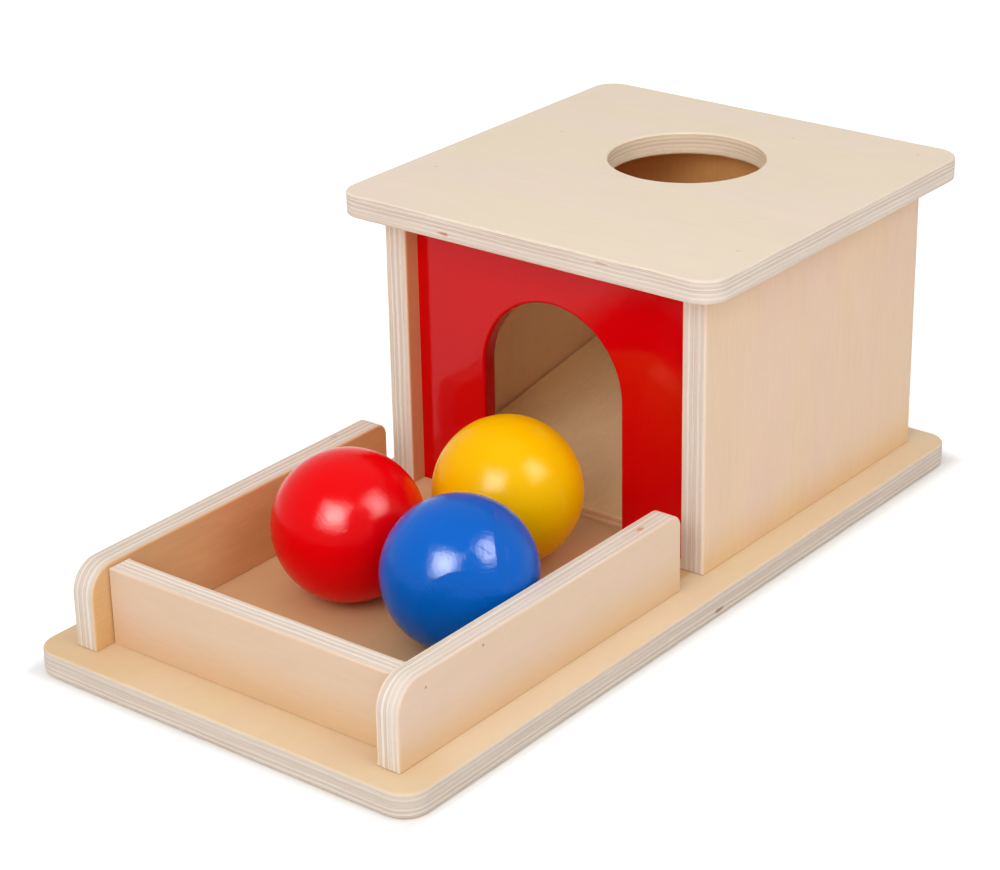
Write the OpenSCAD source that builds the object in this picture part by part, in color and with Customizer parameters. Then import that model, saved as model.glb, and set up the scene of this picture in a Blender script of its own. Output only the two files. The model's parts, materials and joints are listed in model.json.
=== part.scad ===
// Object permanence box: a ball is posted through the round hole in the roof of a small house,
// runs down a ramp inside it and rolls out of an arched doorway into an open tray.
// Units are millimetres. X is to the right, Y to the back, Z up, from the middle of the base's underside.

/* [Base] */
// Width of the base board
base_w = 151; // [126:1:180]
// Depth of the base board, tray and house together
base_d = 301; // [250:1:360]
// Thickness of the base board
base_t = 8.5; // [7:0.5:12]
// Base left showing at each side of the house and the tray
base_side = 10.75; // [4:0.25:20]
// Base left showing in front of the tray
base_front = 9; // [4:0.5:16]
// Base left showing behind the house
base_back = 11.5; // [4:0.5:20]
// Radius of its corners, seen from above
base_corner_r = 8.5; // [4:0.5:30]

/* [House] */
// Height of the side walls
wall_h = 98; // [90:1:130]
// Thickness of the side walls
wall_t = 9; // [8:0.5:12]

/* [Roof] */
// Thickness of the roof board
roof_t = 8; // [7:0.5:12]
// Roof overhang at each side
roof_over_x = 10.25; // [2:0.25:20]
// Roof overhang at the front
roof_over_front = 12.5; // [4:0.5:20]
// Roof overhang at the back
roof_over_back = 11.5; // [4:0.5:20]
// Radius of its corners, seen from above
roof_corner_r = 9; // [4:0.5:30]
// Diameter of the posting hole
hole_d = 54; // [50:0.5:62]
// Centre of the posting hole, from the back of the house
hole_back = 46; // [42:0.5:80]

/* [Panels] */
// Thickness of the front and back panels
panel_t = 6; // [4:0.5:8]
// How far the panels sit in from the wall edges
panel_inset = 6; // [3:0.5:12]
// Depth of the grooves that hold the panels
groove_depth = 3; // [2:0.5:4]
// Width of the arched doorway
arch_w = 56; // [53:0.5:70]
// Height of the arched doorway
arch_h = 76.5; // [66:0.5:84]

/* [Ramp] */
// Thickness of the ramp board
ramp_t = 5; // [4:0.5:8]
// Slope of the ramp in degrees
ramp_angle = 9.7; // [6:0.1:13]
// Height planed off under the ramp's front edge, so that it beds on the base
ramp_bevel = 0.9; // [0.5:0.1:1.5]
// Width of the batten that carries the ramp's high end
batten_w = 10; // [6:0.5:20]

/* [Tray] */
// Share of the depth left for tray and house that the tray takes
tray_share = 0.517; // [0.48:0.001:0.56]
// Thickness of the side rails
rail_t = 8.5; // [7:0.5:12]
// Height of the side rails
rail_h = 27.5; // [24:0.5:40]
// Radius of the side rails' front top corners
rail_front_r = 10; // [4:0.5:16]
// Radius of the side rails' rear top corners
rail_rear_r = 4.5; // [3:0.5:16]
// Gap between the side rails and the house
rail_gap = 12.5; // [4:0.5:20]
// Thickness of the front rail
front_rail_t = 8.5; // [7:0.5:12]
// Height of the front rail
front_rail_h = 26; // [24:0.5:36]
// How far the front rail sits back between the side rails
front_rail_setback = 7.5; // [4:0.5:14]

/* [Balls] */
// Diameter of the balls
ball_d = 49.2; // [45:0.1:52]
// Yellow ball, to the right of the middle
yellow_x = 7; // [2:0.5:12]
// Space between the yellow ball and the house
yellow_gap = 2.3; // [1:0.1:6]
// Space between the yellow and red balls
red_gap = 6.1; // [2:0.1:12]

/* [Fixings] */
// Diameter of the wood screws under the base
screw_d = 3.5; // [3:0.1:4]
// Length of the screws under their heads
screw_l = 25; // [18:0.5:26]
// Diameter of the screw heads
screw_head_d = 7; // [6:0.1:8]
// Height of the screw heads
screw_head_h = 2.2; // [1.6:0.1:2.6]
// How far the screw heads sit below the underside
screw_recess = 0.8; // [0.4:0.1:1.2]
// Distance of the house screws and dowels from the wall ends
wall_fixing = 30; // [20:1:45]
// Distance of the tray screws from the side rail ends
rail_fixing = 35; // [20:1:50]
// Distance of the front rail's two screws from the middle
front_rail_fixing = 34; // [15:1:44]
// Diameter of the roof dowels
dowel_d = 5; // [4:0.5:6]
// Length of a dowel in the wall
dowel_in_wall = 13; // [8:0.5:20]
// Length of a dowel in the roof
dowel_in_roof = 4.5; // [3:0.5:5]

/* [Edges and fits] */
// Radius to which every exposed edge is sanded
ease = 0.8; // [0.3:0.1:1.5]
// Radius of the doorway's rim
arch_ease = 1; // [0.4:0.1:2]
// Clearance on each side of a panel in its groove
groove_fit = 0.1; // [0.05:0.05:0.3]
// Clearance at each side of the ramp and its batten
ramp_fit = 0.4; // [0.2:0.1:1]
// Clearance round a screw or a dowel in its hole
hole_fit = 0.15; // [0.1:0.05:0.4]
// Clearance round a screw head
head_fit = 0.4; // [0.2:0.1:0.6]
// Clearance at the blind end of a hole
end_fit = 0.5; // [0.3:0.1:1]
// Clearance between a ball and what it lies against
ball_fit = 0.3; // [0.25:0.05:0.6]

/* [Hidden] */
$fn = 96;

wood = "BurlyWood";
floor_z = base_t;
roof_z = base_t + wall_h;
// The walls and rails stand in line. What depth the margins and the gap leave is shared by tray and house.
house_w = base_w - 2 * base_side;
tray_w = house_w;
run_d = base_d - base_front - rail_gap - base_back;
rail_l = tray_share * run_d;
house_d = run_d - rail_l;
house_back_y = base_d / 2 - base_back;
house_front_y = house_back_y - house_d;
house_mid_y = (house_front_y + house_back_y) / 2;
house_in_w = house_w - 2 * wall_t;
wall_mid_x = (house_w - wall_t) / 2;

tray_in_w = tray_w - 2 * rail_t;
rail_mid_x = (tray_w - rail_t) / 2;
rail_front_y = -base_d / 2 + base_front;
rail_rear_y = rail_front_y + rail_l;
front_rail_y = rail_front_y + front_rail_setback;

roof_w = house_w + 2 * roof_over_x;
roof_d = house_d + roof_over_front + roof_over_back;
roof_mid_y = house_mid_y + (roof_over_back - roof_over_front) / 2;
hole_y = house_back_y - hole_back;

panel_w = house_in_w + 2 * (groove_depth - groove_fit);
front_panel_y = house_front_y + panel_inset;
back_panel_y = house_back_y - panel_inset - panel_t;

// The ramp beds against the front panel and stops just short of the back one.
ramp_w = house_in_w - 2 * ramp_fit;
ramp_y0 = front_panel_y + panel_t;
ramp_y1 = back_panel_y - ramp_fit;
ramp_lip = ramp_t / cos(ramp_angle) - ramp_bevel;
ramp_bed = ramp_bevel / tan(ramp_angle);
function ramp_top(y) = ramp_lip + (y - ramp_y0) * tan(ramp_angle);
function ramp_under(y) = ramp_top(y) - ramp_t / cos(ramp_angle);

// Yellow lies before the doorway, blue against the right rail, and red ahead of yellow and beside blue.
// No centre lies further than lane from the middle of the tray, or lower than room below yellow's.
ball_r = ball_d / 2;
ball_z = floor_z + ball_r + ball_fit;
lane = tray_in_w / 2 - ball_r - ball_fit;
touch = ball_d + ball_fit;
yellow = [yellow_x, house_front_y - yellow_gap - ball_r, ball_z];
room = yellow[1] - front_rail_y - front_rail_t - ball_r - ball_fit;
blue_dx = min(ball_d, 2 * lane);
blue_drop = sqrt(touch * touch - blue_dx * blue_dx);
red_dx = yellow_x - lane + blue_dx;
red_reach = ball_d + red_gap;
red_drop = min(sqrt(red_reach * red_reach - red_dx * red_dx), room - blue_drop);
red = yellow - [red_dx, red_drop, 0];
blue = red + [blue_dx, -blue_drop, 0];

head_bore_h = screw_head_h + screw_recess;
screw_in_wood = screw_l - (base_t - head_bore_h);
wall_screw_y = [house_front_y + wall_fixing, house_back_y - wall_fixing];
rail_screw_y = [rail_front_y + rail_fixing, rail_rear_y - rail_fixing];
front_screw_y = front_rail_y + front_rail_t / 2;

// Section of a board from an inner line at x = 0 to its sanded edge at x = run.
module edge_section(run, t, e) {
    square([run - e, t]);
    translate([0, e]) square([run, t - 2 * e]);
    for (y = [e, t - e]) translate([run - e, y]) circle(e);
}

// Section of a board with all four edges sanded, centred on x.
module board_section(w, t, e) {
    for (s = [0, 1]) mirror([s, 0]) edge_section(w / 2, t, e);
}

// Half section of an opening through a board, with its two rims rounded over.
module opening_section(r, t, e) {
    translate([0, -1]) square([r, t + 2]);
    for (s = [0, 1]) translate([0, s * t]) mirror([0, s]) difference() {
        translate([0, -1]) square([r + e, e + 1]);
        translate([r + e, e]) circle(e);
    }
}

// A quarter of a sanded board turned about its corner's centre.
module corner(r, t, e) {
    rotate_extrude(angle = 90) edge_section(r, t, e);
}

// A flat board with round corners, centred on X and Y, every edge sanded.
module flat_board(w, d, t, r, e) {
    rotate([90, 0, 90]) linear_extrude(w - 2 * r, center = true) board_section(d, t, e);
    for (s = [0, 1]) mirror([s, 0, 0]) translate([w / 2 - r, 0, 0]) {
        translate([0, d / 2 - r, 0]) rotate([90, 0, 0]) linear_extrude(d - 2 * r) edge_section(r, t, e);
        translate([0, d / 2 - r, 0]) corner(r, t, e);
        translate([0, r - d / 2, 0]) rotate(-90) corner(r, t, e);
    }
}

// The end of a rail lying on its side: h tall along Y, its top corner of radius r.
module rail_end(h, t, r, e) {
    translate([0, h - r, 0]) rotate([90, 0, 0]) linear_extrude(h - r) edge_section(r, t, e);
    translate([0, h - r, 0]) corner(r, t, e);
}

// A side rail standing on the base, its front end at y = 0 and its middle at x = 0.
module side_rail(l, h, t, front_r, rear_r, e) {
    translate([-t / 2, 0, 0]) rotate([90, 0, 90]) {
        translate([front_r, 0, 0]) {
            mirror([1, 0, 0]) rail_end(h, t, front_r, e);
            rotate([90, 0, 90]) linear_extrude(l - front_r - rear_r) edge_section(h, t, e);
        }
        translate([l - rear_r, 0, 0]) rail_end(h, t, rear_r, e);
    }
}

// Every point under the base where a screw is driven up.
module at_screws() {
    for (s = [-1, 1]) {
        for (y = wall_screw_y) translate([s * wall_mid_x, y, 0]) children();
        for (y = rail_screw_y) translate([s * rail_mid_x, y, 0]) children();
        translate([s * front_rail_fixing, front_screw_y, 0]) children();
    }
}

// The pilot that a screw cuts in the piece above the base.
module screw_pilot() {
    translate([0, 0, floor_z - 1]) cylinder(h = screw_in_wood + end_fit + 1, d = screw_d + 2 * hole_fit);
}

module base_board() {
    color(wood) difference() {
        flat_board(base_w, base_d, base_t, base_corner_r, ease);
        at_screws() {
            translate([0, 0, -1]) cylinder(h = base_t + 2, d = screw_d + 2 * hole_fit);
            translate([0, 0, -1]) cylinder(h = head_bore_h + 1, d = screw_head_d + 2 * head_fit);
        }
    }
}

module tray_rail(side) {
    difference() {
        translate([side * rail_mid_x, rail_front_y, floor_z])
            side_rail(rail_l, rail_h, rail_t, rail_front_r, rail_rear_r, ease);
        for (y = rail_screw_y) translate([side * rail_mid_x, y, 0]) screw_pilot();
    }
}

module tray_rail_left() {
    color(wood) tray_rail(-1);
}

module tray_rail_right() {
    color(wood) tray_rail(1);
}

module tray_rail_front() {
    color(wood) difference() {
        translate([-tray_in_w / 2, front_rail_y + front_rail_t, floor_z]) rotate([0, -90, 180])
            linear_extrude(tray_in_w) edge_section(front_rail_h, front_rail_t, ease);
        for (s = [-1, 1]) translate([s * front_rail_fixing, front_screw_y, 0]) screw_pilot();
    }
}

// A side wall of the house, with its outer face to +X and a groove for each panel inside.
module house_wall() {
    difference() {
        translate([house_w / 2, house_mid_y, floor_z]) rotate(90)
            linear_extrude(wall_h) board_section(house_d, wall_t, ease);
        for (y = [front_panel_y, back_panel_y])
            translate([house_in_w / 2 - 1, y - groove_fit, floor_z - 1])
                cube([groove_depth + 1, panel_t + 2 * groove_fit, wall_h + 2]);
        for (y = wall_screw_y) translate([wall_mid_x, y, 0]) {
            screw_pilot();
            translate([0, 0, roof_z - dowel_in_wall])
                cylinder(h = dowel_in_wall + 1, d = dowel_d + 2 * hole_fit);
        }
    }
}

module house_wall_left() {
    color(wood) mirror([1, 0, 0]) house_wall();
}

module house_wall_right() {
    color(wood) house_wall();
}

// The arched doorway, cut right through a panel whose front face is at y = 0.
module doorway() {
    r = arch_w / 2;
    spring = arch_h - r;
    translate([0, 0, -1]) linear_extrude(spring + 1)
        for (s = [0, 1]) mirror([s, 0]) opening_section(r, panel_t, arch_ease);
    translate([0, panel_t, spring]) rotate([90, 0, 0]) rotate_extrude(angle = 180)
        opening_section(r, panel_t, arch_ease);
}

module front_panel() {
    color("Crimson") translate([0, front_panel_y, floor_z]) difference() {
        translate([-panel_w / 2, 0, 0]) cube([panel_w, panel_t, wall_h]);
        doorway();
    }
}

module back_panel() {
    color(wood) translate([-panel_w / 2, back_panel_y, floor_z]) cube([panel_w, panel_t, wall_h]);
}

module roof_board() {
    color(wood) difference() {
        translate([0, roof_mid_y, roof_z]) flat_board(roof_w, roof_d, roof_t, roof_corner_r, ease);
        translate([0, hole_y, roof_z]) rotate_extrude() opening_section(hole_d / 2, roof_t, ease);
        for (s = [-1, 1], y = wall_screw_y) translate([s * wall_mid_x, y, roof_z - 1])
            cylinder(h = dowel_in_roof + end_fit + 1, d = dowel_d + 2 * hole_fit);
    }
}

module ramp_board() {
    color(wood) translate([-ramp_w / 2, 0, floor_z]) rotate([90, 0, 90]) linear_extrude(ramp_w) polygon([
        [ramp_y0, 0],
        [ramp_y0 + ramp_bed, 0],
        [ramp_y1, ramp_under(ramp_y1)],
        [ramp_y1, ramp_top(ramp_y1)],
        [ramp_y0, ramp_lip]
    ]);
}

module ramp_batten() {
    y0 = back_panel_y - batten_w;
    color(wood) translate([-ramp_w / 2, 0, floor_z]) rotate([90, 0, 90]) linear_extrude(ramp_w) polygon([
        [y0, 0],
        [back_panel_y, 0],
        [back_panel_y, ramp_under(back_panel_y)],
        [y0, ramp_under(y0)]
    ]);
}

module ball_red() {
    color("Red") translate(red) sphere(d = ball_d);
}

module ball_blue() {
    color("RoyalBlue") translate(blue) sphere(d = ball_d);
}

module ball_yellow() {
    color("Gold") translate(yellow) sphere(d = ball_d);
}

// Four plain dowels, standing in the walls and reaching up into the roof.
module roof_dowels() {
    c = 0.6;
    color("Tan") for (s = [-1, 1], y = wall_screw_y)
        translate([s * wall_mid_x, y, roof_z - dowel_in_wall]) rotate_extrude() polygon([
            [0, 0],
            [dowel_d / 2 - c, 0],
            [dowel_d / 2, c],
            [dowel_d / 2, dowel_in_wall + dowel_in_roof - c],
            [dowel_d / 2 - c, dowel_in_wall + dowel_in_roof],
            [0, dowel_in_wall + dowel_in_roof]
        ]);
}

// Ten wood screws, heads down in the base, points up in the rails and walls.
module base_screws() {
    color("Silver") at_screws() translate([0, 0, screw_recess]) difference() {
        rotate_extrude() polygon([
            [0, 0],
            [screw_head_d / 2 - 1, 0],
            [screw_head_d / 2, 1],
            [screw_head_d / 2, screw_head_h],
            [screw_d / 2, screw_head_h],
            [screw_d / 2, screw_head_h + screw_l - screw_d],
            [0, screw_head_h + screw_l]
        ]);
        for (a = [0, 90]) rotate(a) translate([-2, -0.45, -1]) cube([4, 0.9, 2.2]);
    }
}

base_board();
tray_rail_left();
tray_rail_right();
tray_rail_front();
house_wall_left();
house_wall_right();
front_panel();
back_panel();
roof_board();
ramp_board();
ramp_batten();
ball_red();
ball_blue();
ball_yellow();
roof_dowels();
base_screws();
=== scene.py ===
# %% [markdown]
# # A ball-drop box in plywood
# A ball goes in through the round hole in the roof, runs down a ramp inside the little house and rolls out of
# the arched doorway into the tray. The CAD model already holds every piece in its place. This lesson dresses
# it: each board is drawn again as a smooth surface with sanded edges, then gets the finish of the real one.
# The frame comes first, because every size below is read from it and nothing is placed by eye.

# %% Load the frame
import json

import bpy
import numpy as np
from mathutils import Matrix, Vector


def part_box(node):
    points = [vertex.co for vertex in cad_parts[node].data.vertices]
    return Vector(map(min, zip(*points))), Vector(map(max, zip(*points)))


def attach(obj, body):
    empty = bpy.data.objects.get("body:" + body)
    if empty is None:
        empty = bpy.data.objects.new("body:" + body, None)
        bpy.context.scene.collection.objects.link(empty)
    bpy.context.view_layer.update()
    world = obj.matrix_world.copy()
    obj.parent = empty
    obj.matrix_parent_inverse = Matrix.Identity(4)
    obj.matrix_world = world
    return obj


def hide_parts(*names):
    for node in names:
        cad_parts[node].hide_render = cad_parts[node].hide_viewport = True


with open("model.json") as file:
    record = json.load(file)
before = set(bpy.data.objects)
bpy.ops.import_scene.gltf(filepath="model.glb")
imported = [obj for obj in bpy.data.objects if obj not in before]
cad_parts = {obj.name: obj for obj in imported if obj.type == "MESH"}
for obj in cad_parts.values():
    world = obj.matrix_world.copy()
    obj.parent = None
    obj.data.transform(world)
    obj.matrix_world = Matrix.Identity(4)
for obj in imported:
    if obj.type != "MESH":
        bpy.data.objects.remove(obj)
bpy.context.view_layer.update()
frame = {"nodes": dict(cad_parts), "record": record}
MM = 0.001


def box_mm(node):
    """Lowest and highest corner of a CAD node, in millimetres."""
    low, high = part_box(node)
    return np.array(low) / MM, np.array(high) / MM


# %% [markdown]
# ## From arrays to a mesh
# A surface is a grid of points: rows go across it and columns go round it, so the last column meets the first.
# Working out the corner numbers of all its faces at once keeps Python's slow loops away from the vertices.
# The flat face of a board is one polygon inside the first or last row. A ball's rows shrink to a pole instead,
# which a fan of triangles closes.

# %% Grids and meshes


def quads(rows, columns, round_rows=False):
    """Faces of a grid of points. Column c joins column c + 1 and the last joins the first; rows too, if asked."""
    row = np.arange(rows if round_rows else rows - 1)[:, None]
    column = np.arange(columns)[None, :]
    next_row, next_column = (row + 1) % rows, (column + 1) % columns
    corners = [row * columns + column, row * columns + next_column]
    corners += [next_row * columns + next_column, next_row * columns + column]
    return np.stack(np.broadcast_arrays(*corners), -1).reshape(-1, 4)


def fan(ring, pole, turned):
    """Triangles from a ring of point numbers to one pole, wound the other way round if turned."""
    other = np.roll(ring, -1)
    first, second = (other, ring) if turned else (ring, other)
    return np.stack([first, second, np.full_like(ring, pole)], -1)


def volume_of(points, faces):
    """Volume inside a closed mesh: the sum of the signed tetrahedra between its triangles and the origin."""
    total = 0.0
    for group in faces:
        for k in range(1, group.shape[1] - 1):
            a, b, c = points[group[:, 0]], points[group[:, k]], points[group[:, k + 1]]
            total += np.einsum("ij,ij->", a, np.cross(b, c)) / 6
    return total


def piece_from(name, points, faces, node, body="box"):
    """Makes a smooth-shaded piece from points in millimetres, in place of a CAD node and riding on its body."""
    mesh = bpy.data.meshes.new(name)
    mesh.from_pydata(points * MM, [], [face for group in faces for face in group.tolist()])
    mesh.polygons.foreach_set("use_smooth", np.ones(len(mesh.polygons), bool))
    mesh.update()
    piece = bpy.data.objects.new(name, mesh)
    bpy.context.scene.collection.objects.link(piece)
    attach(piece, body)
    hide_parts(node)
    print(f"{name}: {len(points)} points, {volume_of(points, faces) / 1000:.1f} cm3")
    return piece


# %% [markdown]
# ## Outlines with round corners
# A board starts as an outline. Each corner is an arc tangent to both its sides, and every point keeps the
# direction that faces outwards, so the outline can later be drawn in by any distance. The sanding radius is
# also kept per point: a rail is sanded along its top and ends, but stays nearly sharp where it stands on the
# base, which is why a fine dark joint line shows there.

# %% Outlines
ARC_POINTS = 12
SANDING_FADE = 1.2


def rounded_outline(corners, radii, sanding, side_points=40):
    """Points, outward normals and sanding radii of a convex outline with round corners.

    Corners run anticlockwise. Side i leaves corner i. A corner takes the smaller sanding of its two sides, and
    a side's own value takes over from it within a millimetre or so, as exp(-distance / SANDING_FADE)."""
    corners, radii, sanding = (np.asarray(v, float) for v in (corners, radii, sanding))
    into = corners - np.roll(corners, 1, 0)
    into /= np.linalg.norm(into, axis=1, keepdims=True)
    away = np.roll(into, -1, 0)
    turn = np.arctan2(into[:, 0] * away[:, 1] - into[:, 1] * away[:, 0], (into * away).sum(1))
    facing = np.stack([into[:, 1], -into[:, 0]], 1)
    centre = corners - into * (radii * np.tan(turn / 2))[:, None] - facing * radii[:, None]
    angle = np.arctan2(facing[:, 1], facing[:, 0])[:, None] + turn[:, None] * np.linspace(0, 1, ARC_POINTS)
    arc_facing = np.stack([np.cos(angle), np.sin(angle)], -1)
    arc = centre[:, None] + radii[:, None, None] * arc_facing

    step = 0.5 - 0.5 * np.cos(np.pi * np.linspace(0, 1, side_points + 2)[1:-1])
    start, stop = arc[:, -1], np.roll(arc[:, 0], -1, 0)
    length = np.linalg.norm(stop - start, axis=1)[:, None]
    line = start[:, None] + (stop - start)[:, None] * step[None, :, None]
    line_facing = np.repeat(arc_facing[:, -1:], side_points, axis=1)

    corner_sanding = np.minimum(sanding, np.roll(sanding, 1))
    next_sanding = np.roll(corner_sanding, -1)
    line_sanding = sanding[:, None] + (corner_sanding - sanding)[:, None] * np.exp(-step * length / SANDING_FADE)
    line_sanding += (next_sanding - sanding)[:, None] * np.exp(-(1 - step) * length / SANDING_FADE)
    arc_sanding = np.repeat(corner_sanding[:, None], ARC_POINTS, axis=1)

    outline = np.concatenate([arc, line], 1).reshape(-1, 2)
    normals = np.concatenate([arc_facing, line_facing], 1).reshape(-1, 2)
    return outline, normals, np.concatenate([arc_sanding, line_sanding], 1).reshape(-1)


def rectangle(low, high):
    """The four corners of a rectangle, anticlockwise from the lowest."""
    return [(low[0], low[1]), (high[0], low[1]), (high[0], high[1]), (low[0], high[1])]


# %% [markdown]
# ## A sanded board
# The edge of a board is one profile carried round the outline: out along one face, round a sanded quarter
# circle, across the plies, round again and back along the other face. Real plywood isn't flat across its edge
# either. The sander takes a little more from the soft plies, so the profile gets ripples a few hundredths of
# a millimetre deep. By hand, the sanding radius also comes out uneven along the run, by about a tenth.

# %% Boards
SUPPORT = 0.06
ROUND_STEPS = 6
PLY_ROWS = 22
PLY_RELIEF, PLY_PITCH = 0.03, 1.2


def uneven(run, seed):
    """About 1, wandering by a tenth along a run in millimetres: the product of two slow sines."""
    return 1 + 0.1 * np.sin(run / 19 + seed) * np.sin(run / 7.7 + 2.3 * seed)


def edge_profile(sanding, thickness, under=1.0):
    """How far in from the outline, and how high, each row of the edge lies, as rows by outline points.

    A quarter circle of the sanding radius, then the plies, then a quarter circle. A row on each flat face just
    inside the arcs keeps the shading of the face flat. under makes the lower arc larger."""
    turn = np.linspace(0, np.pi / 2, ROUND_STEPS)[:, None]
    arc_in, arc_up = sanding * (1 - np.sin(turn)), sanding * (1 - np.cos(turn))
    across = np.linspace(0, 1, PLY_ROWS + 2)[1:-1, None]
    ply_up = under * sanding + across * (thickness - (1 + under) * sanding)
    ply_in = PLY_RELIEF * np.sin(np.pi * ply_up / PLY_PITCH) ** 2 * np.sin(np.pi * across)
    flat_in = sanding[None, :] + SUPPORT
    inwards = np.concatenate([under * flat_in, under * arc_in, ply_in, arc_in[::-1], flat_in])
    flat_up = np.zeros_like(flat_in)
    upwards = np.concatenate([flat_up, under * arc_up, ply_up, thickness - arc_up[::-1], thickness + flat_up])
    return inwards, upwards


def in_place(across, up, axis, low):
    """Points in the frame from outline points and heights along the board's thickness axis (0 X, 1 Y, 2 Z)."""
    points = np.empty(np.broadcast_shapes(across.shape[:-1], np.shape(up)) + (3,))
    points[..., (axis + 1) % 3], points[..., (axis + 2) % 3] = across[..., 0], across[..., 1]
    points[..., axis] = low + up
    return points


def board(name, node, axis, corners, radii, sanding, span=None, seed=0.0, under=1.0):
    """A closed board: the edge profile carried round the outline, and one polygon for each flat face."""
    low, high = span or (box_mm(node)[0][axis], box_mm(node)[1][axis])
    outline, facing, sanding = rounded_outline(corners, radii, sanding)
    run = np.cumsum(np.linalg.norm(np.diff(outline, axis=0, prepend=outline[-1:]), axis=1))
    inwards, upwards = edge_profile(sanding * uneven(run, seed), high - low, under)
    edge = outline - inwards[..., None] * facing
    rows, columns = upwards.shape
    points = in_place(edge, upwards, axis, low).reshape(-1, 3)
    ring = np.arange(columns)
    faces = [quads(rows, columns), ring[None, ::-1], ring[None] + (rows - 1) * columns]
    return piece_from(name, points, faces, node)


# %% [markdown]
# ## The base, the rails and the walls
# These are all the same board with other outlines. The base lies flat, has four round corners and is sanded
# rounder underneath, which is why its lower edge looks dark. The side rails stand on edge, with a wide curve at
# the front and a small one at the rear. The front rail and the house walls are plain rectangles whose hidden
# edges are left almost sharp. A glued joint is never perfectly tight: the front rail is cut a hair short, the
# feet stand off the base by the glue, and both gaps show as dark lines.

# %% Straight boards
SANDED, JOINT = 0.8, 0.16
JOINT_R = 0.36
FIT_GAP, FOOT_GAP = 0.45, 0.1
BASE_R, RAIL_FRONT_R, RAIL_REAR_R = 8.5, 10.0, 4.5

low, high = box_mm("base_board")
base = board(
    "base", "base_board", 2, rectangle(low[:2], high[:2]), [BASE_R] * 4, [SANDED] * 4, seed=0.4, under=1.7,
)

foot = np.array([0.0, FOOT_GAP])
rails = {}
for side in ("left", "right"):
    low, high = box_mm(f"tray_rail_{side}")
    rails[side] = board(
        f"rail_{side}", f"tray_rail_{side}", 0, rectangle(low[1:] + foot, high[1:]),
        [JOINT_R, JOINT_R, RAIL_REAR_R, RAIL_FRONT_R], [JOINT, SANDED, SANDED, SANDED], seed=len(side),
    )

low, high = box_mm("tray_rail_front")
end_gap = np.array([0.0, FIT_GAP])
rails["front"] = board(
    "rail_front", "tray_rail_front", 1, rectangle(low[[2, 0]] + end_gap + foot[::-1], high[[2, 0]] - end_gap),
    [JOINT_R] * 4, [JOINT, SANDED, JOINT, JOINT], seed=2.2,
)

walls = {}
for side in ("left", "right"):
    low, high = box_mm(f"house_wall_{side}")
    walls[side] = board(
        f"wall_{side}", f"house_wall_{side}", 0, rectangle(low[1:] + foot, high[1:]),
        [JOINT_R] * 4, [JOINT, SANDED, JOINT, SANDED], seed=3.1 + len(side),
    )

low, high = box_mm("back_panel")
back = board("back_panel_board", "back_panel", 1, rectangle(low[[2, 0]], high[[2, 0]]), [JOINT_R] * 4, [JOINT] * 4)

# %% [markdown]
# ## The ramp
# The ramp is one board, but its section is what matters: a thin sloping strip whose front edge is cut upright
# behind the doorway and planed flat underneath. So here the outline is that section, and it is carried from one
# wall to the other. The batten that holds up its high end is made in the same way.

# %% Ramp and batten
low, high = box_mm("ramp_board")
batten_low, batten_high = box_mm("ramp_batten")
cloud = np.empty(len(frame["nodes"]["ramp_board"].data.vertices) * 3)
frame["nodes"]["ramp_board"].data.vertices.foreach_get("co", cloud)
cloud = cloud.reshape(-1, 3) / MM
front_points, rear_points = cloud[cloud[:, 1] < low[1] + 0.05], cloud[cloud[:, 1] > high[1] - 0.05]
lip_z, rear_top_z, rear_under_z = front_points[:, 2].max(), rear_points[:, 2].max(), rear_points[:, 2].min()
slope = (rear_top_z - lip_z) / (high[1] - low[1])
bed_y = high[1] - (rear_under_z - low[2]) / slope
section = [
    (low[1], low[2]), (bed_y, low[2]), (high[1], rear_under_z), (high[1], rear_top_z), (low[1], lip_z),
]
sides = (low[0] + FIT_GAP, high[0] - FIT_GAP)
ramp = board("ramp", "ramp_board", 0, section, [0.3, 2.0, 0.3, 0.3, 0.6], [JOINT] * 5, sides, 1.3)


def under_ramp(y):
    """Height of the ramp's underside at a depth y."""
    return rear_under_z - (high[1] - y) * slope


support = [
    (batten_low[1], batten_low[2]), (batten_high[1], batten_low[2]),
    (batten_high[1], under_ramp(batten_high[1])), (batten_low[1], under_ramp(batten_low[1])),
]
batten = board("batten", "ramp_batten", 0, support, [JOINT_R] * 4, [JOINT] * 4, seed=0.9)
print(f"ramp slope {np.degrees(np.arctan(slope)):.1f} degrees, lip at {lip_z:.1f} mm")

# %% [markdown]
# ## The roof and its posting hole
# The hole makes the roof a ring. Its section closes on itself: across the outer edge, in along the top, down
# the wall of the hole and back out underneath. Each point of the outline looks straight at the middle of the
# hole, so the two edges share one set of columns. The cutter that made the hole has left faint upright ripples.

# %% Roof
ROOF_R, HOLE_R, HOLE_Y = 9.0, 27.0, frame["record"]["mounts"][1]["pos_m"][1] / MM
CUTTER_RIPPLE = 0.035

low, high = box_mm("roof_board")
thickness = high[2] - low[2]
outline, facing, sanding = rounded_outline(rectangle(low[:2], high[:2]), [ROOF_R] * 4, [SANDED] * 4, 72)
run = np.cumsum(np.linalg.norm(np.diff(outline, axis=0, prepend=outline[-1:]), axis=1))
inwards, upwards = edge_profile(sanding * uneven(run, 1.7), thickness)
outer = outline - inwards[..., None] * facing
hole_middle = np.array([0.0, HOLE_Y])
spoke = outline - hole_middle
spoke_angle = np.arctan2(spoke[:, 1], spoke[:, 0])
spoke /= np.linalg.norm(spoke, axis=1, keepdims=True)
rim_in, rim_up = edge_profile(sanding * uneven(run, 4.1), thickness)
ripple = CUTTER_RIPPLE * (np.sin(31 * spoke_angle) + 0.6 * np.sin(53 * spoke_angle + 1))
hole = hole_middle + (HOLE_R + rim_in + ripple * (rim_in < SANDED / 2))[..., None] * spoke
rows_across = [outer, (outer[-1:] + hole[-1:]) / 2, hole[::-1], (outer[:1] + hole[:1]) / 2]
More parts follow.
